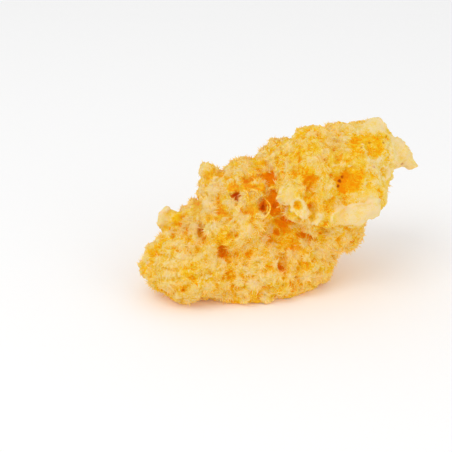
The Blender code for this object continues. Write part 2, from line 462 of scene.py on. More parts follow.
@dataclass(frozen=True)
class SponginFinish:
    """Natural spongin, dried and trimmed.

    Spongin is a horn-like protein grown as a felt of fine fibres. It is matt and lets light through, so the
    fibre tips look pale gold, while light that bounces about in the pores comes out deep yellow and orange:
    red is hardly taken away, blue soon is. That deep yellow and orange is painted into the colour, as painted
    shade and glow in the pores. The fields that start with "by" tell how far each quality of the skin shifts
    the colour towards the painted pore colours. The real fibres are about 0.03 mm thick, too fine to show,
    so the grain stands for them at half a millimetre.
    """

    name: str = "dry_natural_spongin"
    tip_hex: str = "#FDDEA8"
    crest_hex: str = "#FDD97E"
    flank_hex: str = "#FDCE44"
    pore_hex: str = "#FDC60E"
    deep_hex: str = "#FD9800"
    sand_and_shade_hex: str = "#DDB464"
    speck_and_hole_shade_hex: str = "#B04408"
    roughness: float = 0.95
    gloss: float = 0.1
    grain_mm: float = 0.5
    mottle_mm: float = 6.0
    speck_spacing_mm: float = 1.9
    speck_size: tuple[float, float] = (0.1, 0.18)
    bump: float = 0.5
    scatter_mm: float = 0.8
    scatter_share: float = 0.6
    scatter_reach: tuple[float, float, float] = (1.0, 0.6, 0.22)
    all_over: float = 0.33
    by_shade: float = 0.46
    by_relief: float = 0.6
    by_mottle: float = 0.9
    by_streak: float = 0.7
    by_hairs: float = 1.5
    by_tuft: float = 0.22
    by_small_tuft: float = 0.15
    hairs_finer: float = 2.6
    by_grain: float = 0.9
    by_glow: float = 0.6
    by_pale: float = 0.4
    by_smooth: float = 0.2
    by_tip: float = 0.12
    by_own: float = 0.35
    pattern_on_smooth_skin: float = 0.42
    tufts_in_glow: float = 0.3
    sand_and_shade_gain: float = 1.6

    def material(self) -> Material:
        """Builds the procedural material.

        Returns:
            A material whose colour follows how deep in the pores a point lies, with painted shade and glow in
            the pores.
        """
        material = bpy.data.materials.new(self.name)
        material.use_nodes = True
        tree = material.node_tree
        tree.nodes.clear()
        add = partial(add_node, tree)
        place = add("ShaderNodeTexCoord", output="Object")
        skin = {
            name: add("ShaderNodeAttribute", output="Fac", attribute_name=name)
            for name in (
                "shade", "relief", "glow", "pale", "smooth_skin", "tip", "own", "sand", "specks", "dark",
            )
        }
        grain_scale = 1.0 / (self.grain_mm * MM)
        mottle = add(NOISE, {"Vector": place, "Scale": 1.0 / (self.mottle_mm * MM), "Detail": 3.0})
        grain = add(NOISE, {"Vector": place, "Scale": grain_scale, "Detail": 2.0, "Distortion": 1.5})
        streak = CLUMPS.nodes(tree, place)["streak"]
        fine = CLUMPS.nodes(tree, place, self.hairs_finer)
        small_tuft = SMALL_CLUMPS.nodes(tree, place)["tuft"]
        tufts = weighted_sum(
            tree, 0.0, ((fine["tuft"], 0.5, -self.by_tuft), (small_tuft, 0.5, -self.by_small_tuft))
        )
        calm = add(RANGE, {0: skin["glow"], **span(0.2, 1.0, 1.0, self.tufts_in_glow)})
        noises = (
            (mottle, self.by_mottle), (streak, self.by_streak),
            (fine["streak"], self.by_hairs), (grain, self.by_grain),
        )
        pattern = weighted_sum(
            tree, product(tree, (tufts, calm)), tuple((value, 0.5, share) for value, share in noises)
        )
        rough = add(RANGE, {0: skin["smooth_skin"], **span(0.0, 1.0, 1.0, self.pattern_on_smooth_skin)})
        # Painted shade and glow: the colour runs towards deep orange where the skin is closed in (shade), low
        # (relief) or marked to glow, in place of light that bounces in the pores. The noises add the spongin's
        # own varied tone.
        depth = weighted_sum(
            tree,
            self.all_over,
            (
                (skin["shade"], 0.0, self.by_shade),
                (skin["relief"], 0.5, -self.by_relief),
                (product(tree, (pattern, rough)), 0.0, 1.0),
                (skin["glow"], 0.0, self.by_glow),
                (skin["pale"], 0.0, -self.by_pale),
                (skin["smooth_skin"], 0.0, -self.by_smooth),
                (skin["tip"], 0.0, -self.by_tip),
                (skin["own"], 0.0, self.by_own),
            ),
        )
        colour = add("ShaderNodeValToRGB", (depth,))
        stops = colour.node.color_ramp.elements
        stops[0].color = linear(self.tip_hex)
        stops[1].color = linear(self.deep_hex)
        for position, shown in zip(COLOUR_DEPTHS, (self.crest_hex, self.flank_hex, self.pore_hex)):
            stops.new(position).color = linear(shown)
        # Sand and painted shade: the same dull colour stands for sand and paints shade over the left end.
        sand = add(MATH, (skin["sand"], grain), operation="MULTIPLY", use_clamp=True)
        sand = add(MATH, (sand, self.sand_and_shade_gain), operation="MULTIPLY", use_clamp=True)
        near = add(CELLS, {"Vector": place, "Scale": 1.0 / (self.speck_spacing_mm * MM)})
        speck_and_hole_shade = add(RANGE, {0: near, **span(*self.speck_size, 1.0, 0.0)}, **SOFT)
        # The dark map adds real dark grains and painted shade at the ends of the deepest holes, in the specks'
        # colour.
        speck_and_hole_shade = add(MATH, (speck_and_hole_shade, skin["specks"], skin["dark"]), operation="MULTIPLY_ADD", use_clamp=True)
        for share, shown in ((sand, self.sand_and_shade_hex), (speck_and_hole_shade, self.speck_and_hole_shade_hex)):
            colour = add("ShaderNodeMix", {0: share, 6: colour, 7: linear(shown)}, 2, data_type="RGBA")
        height = add(MATH, (fine["streak"], grain), operation="ADD")
        raised = {"Strength": self.bump, "Distance": self.grain_mm * MM, "Height": height}
        shader = add(
            "ShaderNodeBsdfPrincipled",
            {
                "Base Color": colour,
                "Roughness": self.roughness,
                "Specular IOR Level": self.gloss,
                "Subsurface Weight": self.scatter_share,
                "Subsurface Radius": self.scatter_reach,
                "Subsurface Scale": self.scatter_mm * MM,
                "Normal": add("ShaderNodeBump", raised),
            },
        )
        add("ShaderNodeOutputMaterial", {"Surface": shader})
        return material


# The skin itself: pale gold crests over orange pores with painted shade and glow, soft because light goes a
# little way in.
SKIN_FINISH = SponginFinish()
# Single fibres are lit through from all round, so their tips stay yellow, and each has its own tone. Their
# roots take the painted shade of the pore they grow from.
FIBRE_FINISH = SponginFinish(
    name="thin_spongin_fibre", tip_hex="#FDE290", crest_hex="#FDDC70", scatter_share=0.0, bump=0.0,
    all_over=0.34, by_tip=0.45, by_shade=0.45, by_own=0.5,
)
# Loose strands are bundles of fibres, a little paler than the holes behind them.
STRAND_FINISH = SponginFinish(
    name="loose_spongin_strand", tip_hex="#FDDC92", scatter_share=0.2, bump=0.0, all_over=0.12
)

# Trimmed or worn skin with few pores and fibres: the flap, the tip, the oval lobe and the lobe ends.
SMOOTH_SKIN = SkinMap(
    "smooth_skin", 0.0,
    (
        Patch((375, 122), 4.0), Patch((384, 130), 2.6, 0.8), Patch((396, 150), 4.6),
        Patch((408, 160), 3.4), Patch((413, 164), 3.0), Patch((403, 165), 2.6),
        Patch((288, 195), 2.6, 0.9), Patch((302, 214), 2.2, 0.6), Patch((298, 205), 2.0, 0.6),
        Patch((313, 218), 2.0, 0.5), Patch((343, 217), 3.8, 1.0), Patch((359, 213), 4.0, 1.0),
        Patch((376, 207), 3.6, 0.9), Patch((388, 180), 4.0, 0.8), Patch((386, 194), 3.4, 0.8),
        Patch((372, 196), 3.0, 0.6), Patch((208, 166), 2.4, 0.5), Patch((163, 214), 3.4, 0.8),
        Patch((174, 216), 2.6, 0.6), Patch((350, 125), 3.0, 0.3), Patch((207, 203), 1.5, 0.9),
        Patch((243, 228), 2.6, 0.6), Patch((272, 229), 2.4, 0.5), Patch((238, 207), 1.4, 0.5),
    ),
)
# How strongly light comes orange out of a hollow. A negative value makes a place paler.
GLOW = SkinMap(
    "glow", 0.12,
    (
        Patch((310, 150), 12.0, 0.22), Patch((215, 200), 11.0, -0.06), Patch((250, 178), 7.0, -0.04),
        Patch((349, 176), 4.8, 1.05), Patch((343, 182), 3.0, 1.4), Patch((352, 184), 2.4, 1.1),
        Patch((338, 170), 2.0, 0.9), Patch((338, 163), 3.6, 0.6), Patch((357, 160), 3.4, 0.5),
        Patch((372, 146), 4.0, 0.8), Patch((358, 141), 2.0, 0.8), Patch((311, 178), 2.4, 0.6),
        Patch((298, 205), 1.5, 0.75), Patch((313, 218), 1.4, 0.5), Patch((325, 200), 3.4, 0.4),
        Patch((268, 182), 2.8, 1.0), Patch((272, 205), 3.2, 1.2), Patch((284, 219), 3.0, 0.8),
        Patch((256, 176), 2.6, 0.3), Patch((238, 198), 3.2, 0.9), Patch((237, 200), 2.0, 1.4),
        Patch((264, 208), 2.4, 1.2), Patch((253, 209), 1.9, 0.8), Patch((223, 212), 2.2, 0.8),
        Patch((209, 218), 1.2, 0.8), Patch((217, 221), 1.4, 0.9), Patch((231, 187.5), 1.4, 0.8),
        Patch((237, 188), 1.3, 0.9), Patch((243, 188), 1.2, 0.9), Patch((249, 187.5), 1.2, 0.9),
        Patch((255, 187.5), 1.2, 0.9), Patch((261, 188), 1.4, 0.9), Patch((226.5, 180), 1.4, 0.7),
        Patch((276, 232), 1.0, 1.4), Patch((179, 219), 2.0, 0.8), Patch((197, 200), 2.0, 0.6),
        Patch((206, 174), 1.2, 0.4), Patch((364, 214), 6.0, -0.1), Patch((398, 152), 6.0, -0.05),
        Patch((376, 122), 4.0, -0.1),
    ),
)
# Fine sand caught between the fibres, which dulls the gold, and painted shade that dulls and darkens the left
# end.
SAND_AND_SHADE = SkinMap(
    "sand", 0.0,
    (
        Patch((334, 147), 4.4, 0.2), Patch((225, 198), 11.0, 0.1), Patch((192, 216), 5.0, 0.35),
        Patch((198, 200), 2.6, 0.4), Patch((204, 190), 3.0, 0.2),
    ),
)
# How deep the small pores and holes are.
OPEN_PORES = SkinMap(
    "open_pores", 0.75,
    (
        Patch((330, 165), 17.0, 0.3), Patch((360, 150), 14.0, 0.25), Patch((364, 212), 8.0, 0.1),
        Patch((335, 149), 5.0, 0.0), Patch((240, 215), 12.0, 0.35), Patch((200, 215), 8.0, 0.4),
        Patch((262, 172), 9.0, 0.2), Patch((230, 180), 7.0, 0.15), Patch((208, 172), 5.0, 0.1),
    ),
)
# How ragged the sponge is: long fibres and high tufts on the left half, short and low ones on the right.
RAGGED = SkinMap(
    "ragged", 0.5,
    (
        Patch((350, 160), 20.0, 0.05), Patch((300, 140), 14.0, 0.3), Patch((385, 190), 12.0, -0.15),
        Patch((402, 154), 9.0, -0.4), Patch((384, 190), 9.0, -0.5), Patch((375, 118), 5.0, -0.15),
        Patch((255, 170), 9.0, 0.5), Patch((225, 200), 12.0, 0.45), Patch((208, 170), 5.0, 0.3),
        Patch((165, 215), 6.0, 0.2), Patch((292, 200), 5.0, 0.2),
    ),
)
# How dark the scattered specks are.
SPECKS = SkinMap(
    "specks", 0.0,
    (
        Patch((360, 150), 12.0, 0.3), Patch((338, 160), 8.0, 0.2), Patch((396, 168), 6.0, 0.3),
    ),
)
# Single dark grains, and painted shade at the dark ends of the deepest holes.
DARK_GRAINS_AND_HOLE_SHADE = SkinMap(
    "dark", 0.0,
    (
        Patch((339.5, 181), 0.6), Patch((338, 186), 0.5), Patch((342, 177), 0.4, 0.8),
        Patch((369, 143), 0.4, 0.6), Patch((362, 147), 0.35, 0.6), Patch((383, 143), 0.4, 0.6),
        Patch((387, 136), 0.35, 0.6), Patch((373, 167), 0.4, 0.5), Patch((402, 164), 0.35, 0.6),
        Patch((266, 205.5), 0.5, 0.6), Patch((265, 213), 0.45, 0.6), Patch((263.5, 208), 0.9, 0.35),
        Patch((276, 180), 0.7, 0.45), Patch((237.5, 200.5), 0.5, 0.3), Patch((244.4, 201.5), 0.35, 0.3),
        Patch((279, 206), 0.4, 0.4), Patch((274, 206), 0.8, 0.35), Patch((183, 218), 0.5, 0.5),
        Patch((220.3, 222), 0.4, 0.5), Patch((209, 218), 0.4, 0.35), Patch((203, 209.5), 0.35, 0.4),
    ),
)
# The pits that are shallower on the real sponge than in its solid.
FILLED = SkinMap(
    "filled", 0.0,
    (
        Patch((382, 171), 2.6), Patch((374, 146), 4.0, 0.3), Patch((349, 176), 5.4, 0.5),
        Patch((316, 178), 3.0, 0.3), Patch((313, 197), 2.6, 0.6),
    ),
)
SKIN_MAPS = (SMOOTH_SKIN, GLOW, SAND_AND_SHADE, OPEN_PORES, RAGGED, SPECKS, DARK_GRAINS_AND_HOLE_SHADE)

# The pale raised rims of the front.
RIDGES = (
    Ridge(
        "tongue rim",
        ((287, 184), (281, 190), (279.5, 197), (281, 204), (287, 209), (294, 213.5), (303, 217.5)), 0.5, 0.8,
    ),
    Ridge(
        "tongue hole ring",
        (
            (298, 199), (304, 201), (305, 207), (301, 211.5),
            (295, 212), (291.5, 207), (292.5, 201.5), (298, 199),
        ),
        0.4, 0.4,
    ),
    Ridge("lower ring", ((309, 211), (306.5, 217), (310, 223.5), (317, 225), (321, 219), (319, 212)), 0.4, 0.6),
    Ridge("oval edge", ((331, 221), (333, 214), (341, 208), (352, 204), (366, 202.5), (380, 200)), 0.45, 0.5),
    Ridge(
        "side ring",
        ((384, 166.5), (389, 169.5), (389.5, 176), (385, 180), (380, 177), (379.5, 170), (384, 166.5)),
        0.4, 0.35,
    ),
    Ridge("flap edge", ((362, 118), (373, 114.5), (384, 118), (389, 126)), 0.5, 0.25),
    Ridge("upper lip", ((385, 150), (381, 158), (374, 161), (366, 160)), 0.45, 0.4),
    Ridge("crater lip", ((331, 172), (333, 166), (341, 164.5), (350, 166)), 0.5, 0.4),
    Ridge("left fin edge", ((157, 217), (163, 211), (170, 207)), 0.45, 0.3),
)

# The pits, grooves, holes and lumps of the front, from the crater at the right to the lumps at the left.
HOLLOWS = (
    Hollow("great crater", (349, 177), 4.6, 3.8, 0.8),
    Hollow("crater upper arm", (336, 162), 3.0, 1.6, 0.8, 30.0),
    Hollow("crater hole one", (338, 181), 0.5, 0.7, 1.0),
    Hollow("crater hole two", (338, 186), 0.6, 0.5, 1.0),
    Hollow("crater hole three", (342, 178), 0.4, 0.5, 0.8),
    Hollow("upper hollow", (372, 145), 3.0, 2.2, 0.3, -20.0),
    Hollow("upper hollow left", (357, 141), 1.5, 1.2, 0.9),
    Hollow("upper pore one", (369, 143), 0.5, 0.4, 0.8),
    Hollow("upper pore two", (362, 147), 0.4, 0.4, 0.8),
    Hollow("upper pore three", (383, 143), 0.5, 0.4, 0.8),
    Hollow("upper pore four", (387, 136), 0.4, 0.35, 0.7),
    Hollow("side pore", (373, 167), 0.5, 0.6, 0.9),
    Hollow("tip pore", (402, 164), 0.35, 0.35, 0.7),
    Hollow("side ring", (384, 173), 1.0, 1.5, 1.2),
    Hollow("shoulder hollow", (312, 178), 1.8, 1.3, 0.8),
    Hollow("tongue hole", (298, 205), 1.3, 1.4, 1.1),
    Hollow("ring hole", (313, 218), 1.3, 1.2, 0.5),
    Hollow("long crevice", (269, 180), 2.4, 4.0, 0.3, 12.0),
    Hollow("lower crevice", (274, 205), 1.6, 3.0, 0.9, -40.0),
    Hollow("crevice foot", (285, 217), 3.4, 1.2, 1.8, -32.0),
    Hollow("strand hole", (264, 208.5), 1.0, 2.6, 1.6, -2.0),
    Hollow("small yellow hollow", (251.5, 193.5), 0.9, 0.8, 0.8),
    Hollow("golden hollow", (253, 209), 1.4, 2.0, 0.8),
    Hollow("orange hole", (238, 198.5), 2.7, 2.2, 2.2, 10.0),
    Hollow("left groove", (247, 187.5), 6.4, 0.9, 1.2, 0.0),
    Hollow("fringe line one", (253, 179), 3.4, 0.35, 0.45, 0.0),
    Hollow("fringe line two", (252, 174), 3.0, 0.35, 0.4, 2.0),
    Hollow("knob band", (208, 186), 2.4, 0.5, 0.6, -4.0),
    Hollow("upper knob band", (208, 179.5), 2.2, 0.45, 0.5, -6.0),
    Hollow("hollow by the knob", (226.5, 180), 1.0, 1.3, 0.8),
    Hollow("low slot", (214, 220), 2.6, 0.6, 1.2, -16.0),
    Hollow("left orange hollow", (223, 213), 1.4, 1.8, 1.0),
    Hollow("low hole", (276.3, 232), 0.8, 0.8, 1.8),
    Hollow("hole by the low lump", (237.5, 226), 0.7, 0.9, 1.0),
    Hollow("left hole", (200, 229), 1.2, 0.8, 1.4),
    Hollow("left hole two", (213, 211), 0.8, 0.8, 1.0),
    Hollow("middle hole", (246, 217), 0.8, 0.6, 1.2),
    Hollow("fin foot", (182, 218), 1.2, 1.4, 1.2),
    Hollow("pale bump", (207, 203), 1.6, 1.2, -0.8),
    Hollow("low pale bump", (243, 228), 2.8, 2.0, -0.9),
    Hollow("pale lump under the hole", (271, 229), 3.2, 1.8, -0.6),
    Hollow("ledge under the orange hole", (238, 207), 2.2, 0.7, -0.7),
)


# How far the relief goes from its lowest to its highest part, for the attribute that the colour reads.
RELIEF_SPAN_MM = 2.2
# Each rounding draws the points in and then pushes them out, so thin flaps and tips keep their size.
ROUNDING_FACTORS = (0.6, -0.62)


@dataclass(frozen=True)
class Openings:
    """Openings of one size: the mouth is in spacings, and luck tells from where on one opens."""

    name: str
    spacing_mm: float
    depth_mm: float
    mouth: tuple[float, float]
    luck: tuple[float, float]


@dataclass
class SpongeBody:
    """The sponge's body: the solid's form with pores and ridges grown over it.

    The relief keeps the shares that its spans give, and it starts a little above the cut base. On the base
    itself nothing is raised and the pores go straight up, so the sponge stands flat.
    """

    name: str = "sponge_body"
    first_voxel_mm: float = 0.6
    skin_voxel_mm: float = 0.425
    facet_rounding: int = 7
    hollow_rounding: int = 1
    fill_rounds: int = 60
    hollow_reach_mm: float = 6.0
    hollow_wall: float = 0.8
    room_for_fibres_mm: float = 0.35
    full_room_height_mm: float = 2.0
    tip_length_mm: float = 5.0
    clump_height_mm: float = 0.8
    clump_span: tuple[float, float, float, float] = (0.05, 0.75, 0.5, -0.5)
    tuft_height_mm: float = 0.55
    small_tuft_height_mm: float = 0.35
    streak_height_mm: float = 0.9
    knot_spacing_mm: float = 1.15
    knot_height_mm: float = 1.5
    pore_bend: float = 1.6
    openings: tuple[Openings, ...] = (
        Openings("Pore", 1.6, 1.0, (0.06, 0.45), (0.3, 0.9)),
        Openings("Hole", 4.6, 1.1, (0.08, 0.34), (0.5, 0.75)),
    )
    relief_spans: Spans = (
        ("smooth_skin", (0.0, 1.0, 1.0, 0.25)),
        ("ragged", (0.0, 1.0, 0.7, 1.0)),
        ("glow", (0.35, 1.0, 1.0, 0.45)),
    )
    relief_starts_mm: tuple[float, float] = (0.05, 1.4)
    base_pores_end_mm: float = 0.3

    def even_skin(self, mesh: Mesh, voxel_mm: float, rounding: int) -> Mesh:
        """Remakes a mesh with even faces and rounds it.

        Args:
            mesh: The mesh to remake.
            voxel_mm: The size of the new faces.
            rounding: How many times the points move in and out.

        Returns:
            The new mesh.
        """
        holder = new_object("even skin", mesh)
        remesh = holder.modifiers.new("even faces", "REMESH")
        remesh.mode = "VOXEL"
        remesh.voxel_size = voxel_mm * MM
        for _ in range(rounding):
            for factor in ROUNDING_FACTORS:
                smooth = holder.modifiers.new("rounded facets", "SMOOTH")
                smooth.factor = factor
                smooth.iterations = 1
        result = baked_mesh(holder)
        bpy.data.objects.remove(holder)
        return result

    def solid_copy(self) -> Mesh:
        """Copies the solid with its loose triangles joined."""
        bm = bmesh.new()
        bm.from_mesh(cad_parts[NODE].data)
        bmesh.ops.remove_doubles(bm, verts=bm.verts, dist=1e-6)
        return mesh_of(bm, "form")

    def fill_pits(self, mesh: Mesh) -> None:
        """Evens out the pits of the front that are shallower on the real sponge than in its solid.

        Args:
            mesh: The rounded form.
        """
        FILLED.paint(mesh, skin_tree(mesh))
        share = read_values(mesh, FILLED.attribute)[:, None]
        points = points_of(mesh)
        edges = edges_of(mesh)
        ends, others = edges.T
        count = np.bincount(edges.ravel(), minlength=len(points))[:, None]
        for _ in range(self.fill_rounds):
            sums = [
                np.bincount(ends, axis[others], len(axis)) + np.bincount(others, axis[ends], len(axis))
                for axis in points.T
            ]
            points += (np.stack(sums, axis=1) / count - points) * share
        move_points(mesh, points)

    def sink_hollows(self, mesh: Mesh) -> None:
        """Presses the named hollows into the front and raises the ridges.

        Args:
            mesh: The rounded form.
        """
        tree = skin_tree(mesh)
        points = points_of(mesh)
        moved = points.copy()
        across, up, into = (np.array(way) for way in (VIEW.across, VIEW.up, VIEW.into))
        for hollow in HOLLOWS:
            centre = VIEW.hit(tree, hollow.pixel)
            if centre is None:
                log.warning("%s: nothing at pixel %s", hollow.name, hollow.pixel)
                continue
            turn = math.radians(hollow.turn_deg)
            offset = points - np.array(centre)
            side = offset @ across
            rise = offset @ up
            along = side * math.cos(turn) + rise * math.sin(turn)
            upright = rise * math.cos(turn) - side * math.sin(turn)
            away = np.hypot(along / (hollow.half_width_mm * MM), upright / (hollow.half_height_mm * MM))
            near = np.clip(1.0 - np.abs(offset @ into) / (self.hollow_reach_mm * MM), 0.0, 1.0)
            dip = np.clip(1.0 - away * away, 0.0, 1.0) ** self.hollow_wall * near
            moved += into * (dip * hollow.depth_mm * MM)[:, None]
        outward = normals_of(mesh)
        for ridge in RIDGES:
            moved += outward * (ridge.share(points, tree) * ridge.height_mm * MM)[:, None]
        move_points(mesh, moved)

    def make_room(self, mesh: Mesh) -> None:
        """Draws the skin in, so that the fibre tips reach the solid's surface, except on the cut base."""
        points = points_of(mesh)
        above = np.clip(points[:, 2] / (self.full_room_height_mm * MM), 0.0, 1.0)
        furry = 1.0 - read_values(mesh, SMOOTH_SKIN.attribute)
        points -= normals_of(mesh) * (above * furry * self.room_for_fibres_mm * MM)[:, None]
        move_points(mesh, points)

    def reach_tip(self, mesh: Mesh) -> None:
        """Draws the pointed tip, which rounding shortens, out to the solid's own end.

        Args:
            mesh: The rounded form.
        """
        points = points_of(mesh)
        end = points[:, 0].max()
        share = np.clip((points[:, 0] - end) / (self.tip_length_mm * MM) + 1.0, 0.0, 1.0)
        points[:, 0] += share * (solid_box[1][0] - end)
        move_points(mesh, points)

    @property
    def inputs(self) -> dict[str, float]:
        """The named inputs of the relief's tree, in metres."""
        sizes = {
            "Clump height": self.clump_height_mm,
            "Streak height": self.streak_height_mm,
            "Tuft height": self.tuft_height_mm,
            "Small tuft height": self.small_tuft_height_mm,
            "Knot spacing": self.knot_spacing_mm,
            "Knot height": self.knot_height_mm,
        }
        for kind in self.openings:
            sizes[kind.name + " spacing"] = kind.spacing_mm
            sizes[kind.name + " depth"] = kind.depth_mm
        return {key: size * MM for key, size in sizes.items()}

    def relief_tree(self) -> NodeTree:
        """Builds the tree that raises clumps, streaks and knots and sinks pores along the skin.

        Returns:
            The geometry node tree.
        """
        tree, given = new_tree("clumps and pores", self.inputs)
        add = partial(add_node, tree)
        place = add("GeometryNodeInputPosition")
        normal = add("GeometryNodeInputNormal")
        above = add(SEPARATE, (place,), 2)
        clumps = CLUMPS.nodes(tree, place)
        clump = add(RANGE, {0: clumps["distance"], **span(*self.clump_span)})
        knot_scale = add(MATH, (1.0, given["Knot spacing"]), operation="DIVIDE")
        knot = add(NOISE, {"Vector": place, "Scale": knot_scale, "Detail": 2.5, "Distortion": 0.6})
        drift = add(VECTOR, (knot.node.outputs[1], MIDDLE), operation="SUBTRACT")
        bend = self.pore_bend * self.knot_spacing_mm * MM
        drift = add(VECTOR, {0: drift, "Scale": bend}, operation="SCALE")
        bent = add(VECTOR, (place, drift), operation="ADD")
        sink = 0.0
        for kind in self.openings:
            scale = add(MATH, (1.0, given[kind.name + " spacing"]), operation="DIVIDE")
            near = add(CELLS, {"Vector": bent, "Scale": scale})
            luck = add(SEPARATE, (near.node.outputs["Color"],), 1)
            mouth = add(RANGE, {0: near, **span(*kind.mouth, 1.0, 0.0)}, **SOFT)
            taken = add(RANGE, {0: luck, **span(*kind.luck, 0.0, 1.0)}, **SOFT)
            parts = (product(tree, (mouth, taken)), given[kind.name + " depth"], sink)
            sink = add(MATH, parts, operation="MULTIPLY_ADD")
        sink = product(tree, (sink, add(READ, (OPEN_PORES.attribute,))))
        rise = product(tree, (clump, given["Clump height"]))
        small_tuft = SMALL_CLUMPS.nodes(tree, place)["tuft"]
        for value, height in (
            (clumps["streak"], "Streak height"), (clumps["tuft"], "Tuft height"),
            (small_tuft, "Small tuft height"), (knot, "Knot height"),
        ):
            about = add(MATH, (value, 0.5), operation="SUBTRACT")
            rise = add(MATH, (about, given[height], rise), operation="MULTIPLY_ADD")
        height = add(MATH, (rise, sink), operation="SUBTRACT")
        start, full = (height_mm * MM for height_mm in self.relief_starts_mm)
        off_base = add(RANGE, {0: above, **span(start, full, 0.0, 1.0)})
        amount = product(tree, (*skin_shares(tree, self.relief_spans), off_base, height))
        at_base = add(RANGE, {0: above, **span(0.0, self.base_pores_end_mm * MM, 1.0, 0.0)})
        base_rise = add(COMBINE, {2: product(tree, (sink, at_base))})
        along = add(VECTOR, {0: normal, "Scale": amount}, operation="SCALE")
        total = add(VECTOR, (along, base_rise), operation="ADD")
        parts = (amount, 1.0 / (RELIEF_SPAN_MM * MM), 0.5)
        level = add(MATH, parts, operation="MULTIPLY_ADD", use_clamp=True)
        noted = add(STORE, {"Geometry": given["Geometry"], "Name": "relief", "Value": level}, **ON_POINTS)
        moved = add("GeometryNodeSetPosition", {"Geometry": noted, "Offset": total})
        add("NodeGroupOutput", (moved,))
        return tree

    def build(self, finish: Material) -> Object:
        """Makes the body, its skin maps and its finish.

        Args:
            finish: The spongin material.

        Returns:
            The finished piece.
        """
        form = self.even_skin(self.solid_copy(), self.first_voxel_mm, self.facet_rounding)
        SMOOTH_SKIN.paint(form, skin_tree(form))
        self.fill_pits(form)
        self.make_room(form)
        self.sink_hollows(form)
        form = self.even_skin(form, self.skin_voxel_mm, self.hollow_rounding)
        self.reach_tip(form)
        tree = skin_tree(form)
        for skin_map in SKIN_MAPS:
            skin_map.paint(form, tree)
        points = points_of(form)
        store(form, "pale", np.max([ridge.share(points, tree) for ridge in RIDGES], axis=0))
        mesh = run_tree(self.relief_tree(), form, self.inputs, self.name)
        PoreShade().paint(mesh)
        mesh.shade_smooth()
        mesh.materials.clear()
        mesh.materials.append(finish)
        return new_object(self.name, mesh)


def skin_tree(mesh: Mesh) -> BVHTree:
    """Builds the search tree that lines are cast at."""
    faces = [tuple(face.vertices) for face in mesh.polygons]
    return BVHTree.FromPolygons([Vector(point) for point in points_of(mesh)], faces)


def edges_of(mesh: Mesh) -> np.ndarray:
    """Reads the two point numbers of each edge of a mesh as an array of rows."""
    flat = np.empty(len(mesh.edges) * 2, np.int32)
    mesh.edges.foreach_get("vertices", flat)
    return flat.reshape(-1, 2)


def normals_of(mesh: Mesh) -> np.ndarray:
    """Reads a mesh's point normals as an array of rows."""
    flat = np.empty(len(mesh.vertices) * 3, np.float32)
    mesh.vertices.foreach_get("normal", flat)
    return flat.reshape(-1, 3).astype(float)


def points_of(mesh: Mesh) -> np.ndarray:
    """Reads a mesh's points as an array of rows."""
    flat = np.empty(len(mesh.vertices) * 3, np.float32)
    mesh.vertices.foreach_get("co", flat)
    return flat.reshape(-1, 3).astype(float)


def move_points(mesh: Mesh, points: np.ndarray) -> None:
    """Moves a mesh's points to new places, one to a row."""
    mesh.vertices.foreach_set("co", points.astype(np.float32).ravel())
    mesh.update()


def read_values(mesh: Mesh, name: str) -> np.ndarray:
    """Reads a mesh's named attribute, one number for each point."""
    values = np.empty(len(mesh.vertices), np.float32)
    mesh.attributes[name].data.foreach_get("value", values)
    return values.astype(float)


def store(mesh: Mesh, name: str, values: np.ndarray) -> None:
    """Stores a number for each point of a mesh as a named attribute."""
    attribute = mesh.attributes.get(name) or mesh.attributes.new(name, "FLOAT", "POINT")
    attribute.data.foreach_set("value", values.astype(np.float32))


@dataclass(frozen=True)
class PoreShade:
    """How closed in each point of the skin is, which is looked for with lines that fan out from it.

    A line starts a little off the skin. A wall that it meets counts fully when it is close, and loses
    far_loss of that at the end of the line's reach.
    """

    rays: int = 12
    reach_mm: float = 5.0
    start_mm: float = 0.06
    flattest: float = 0.02
    far_loss: float = 0.7
    open_level: float = 0.08
    level_span: float = 0.62
    blur_rounds: int = 2
    seed: int = 4

    def fan(self, mesh: Mesh) -> Iterator[np.ndarray]:
        """Turns the lines of each point by a random angle, so that they leave no pattern.

        Args:
            mesh: The skin.

        Yields:
            One direction for each point, for one line after another.
        """
        normals = normals_of(mesh)
        turn = np.random.default_rng(self.seed).uniform(0.0, math.tau, len(normals))
        side = np.cross(normals, np.where(np.abs(normals[:, :1]) > 0.8, (0.0, 1.0, 0.0), (1.0, 0.0, 0.0)))
        side /= np.linalg.norm(side, axis=1)[:, None]
        other = np.cross(normals, side)
        golden = math.pi * (3.0 - math.sqrt(5.0))
        for k in range(self.rays):
            out = math.sqrt((k + 0.5) / self.rays)
            angle = turn + golden * k
            yield (
                side * (out * np.cos(angle))[:, None]
                + other * (out * np.sin(angle))[:, None]
                + normals * math.sqrt(max(self.flattest, 1.0 - out * out))
            )

    def paint(self, mesh: Mesh) -> None:
        """Stores the shade of each point, from 0 on an open crest to 1 deep in a pore.

        Args:
            mesh: The mesh that is read and that gets the attribute.
        """
        tree = skin_tree(mesh)
        starts = (points_of(mesh) + normals_of(mesh) * self.start_mm * MM).tolist()
        reach = self.reach_mm * MM
        walls = np.zeros(len(starts))
        for aim in self.fan(mesh):
            for i, (start, way) in enumerate(zip(starts, aim.tolist())):
                distance = tree.ray_cast(start, way, reach)[3]
                if distance is not None:
                    walls[i] += 1.0 - self.far_loss * distance / reach
        shade = walls / self.rays
        edges = edges_of(mesh)
        for _ in range(self.blur_rounds):
            total = shade.copy()
            count = np.ones(len(shade))
            for a, b in ((0, 1), (1, 0)):
                np.add.at(total, edges[:, a], shade[edges[:, b]])
                np.add.at(count, edges[:, a], 1.0)
            shade = total / count
        store(mesh, "shade", np.clip((shade - self.open_level) / self.level_span, 0.0, 1.0))


class FibreKind(Enum):
    """The kinds of fibre: spacing, length and root radius in millimetres, and how far they stand up.

    The real fibres are about 0.03 mm thick, too fine to show, so these are drawn coarser and fewer.
    """

    FELT = (0.5, 1.1, 0.16, 0.4)
    BRUSH = (0.62, 1.8, 0.2, 0.45)


